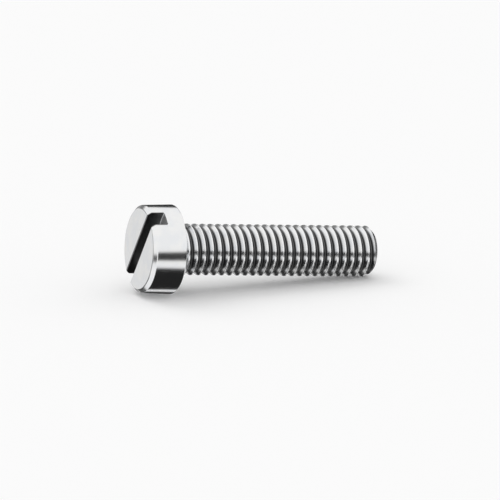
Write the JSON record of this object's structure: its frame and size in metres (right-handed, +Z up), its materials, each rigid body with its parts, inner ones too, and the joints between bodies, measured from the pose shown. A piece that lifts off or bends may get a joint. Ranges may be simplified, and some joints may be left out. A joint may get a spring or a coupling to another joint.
{
  "type": "slotted cheese head screw",
  "caption": "Slotted cheese head machine screw, M5 x 20, fully threaded, for a tapped hole or a nut.",
  "frame": {"origin": "on the floor under the middle of the screw's box, the screw lying on its side", "axes": "+X towards the tip, along the screw as it lies (its axis dips 5.2 degrees towards the tip), +Z up"},
  "size_m": [0.0242, 0.0084, 0.0086],
  "materials": {
    "zinc_plated_steel": "bright zinc plating on steel, with fine turning marks on the head"
  },
  "bodies": {
    "root": {"cheese_head_screw": "zinc_plated_steel"}
  },
  "joints": []
}
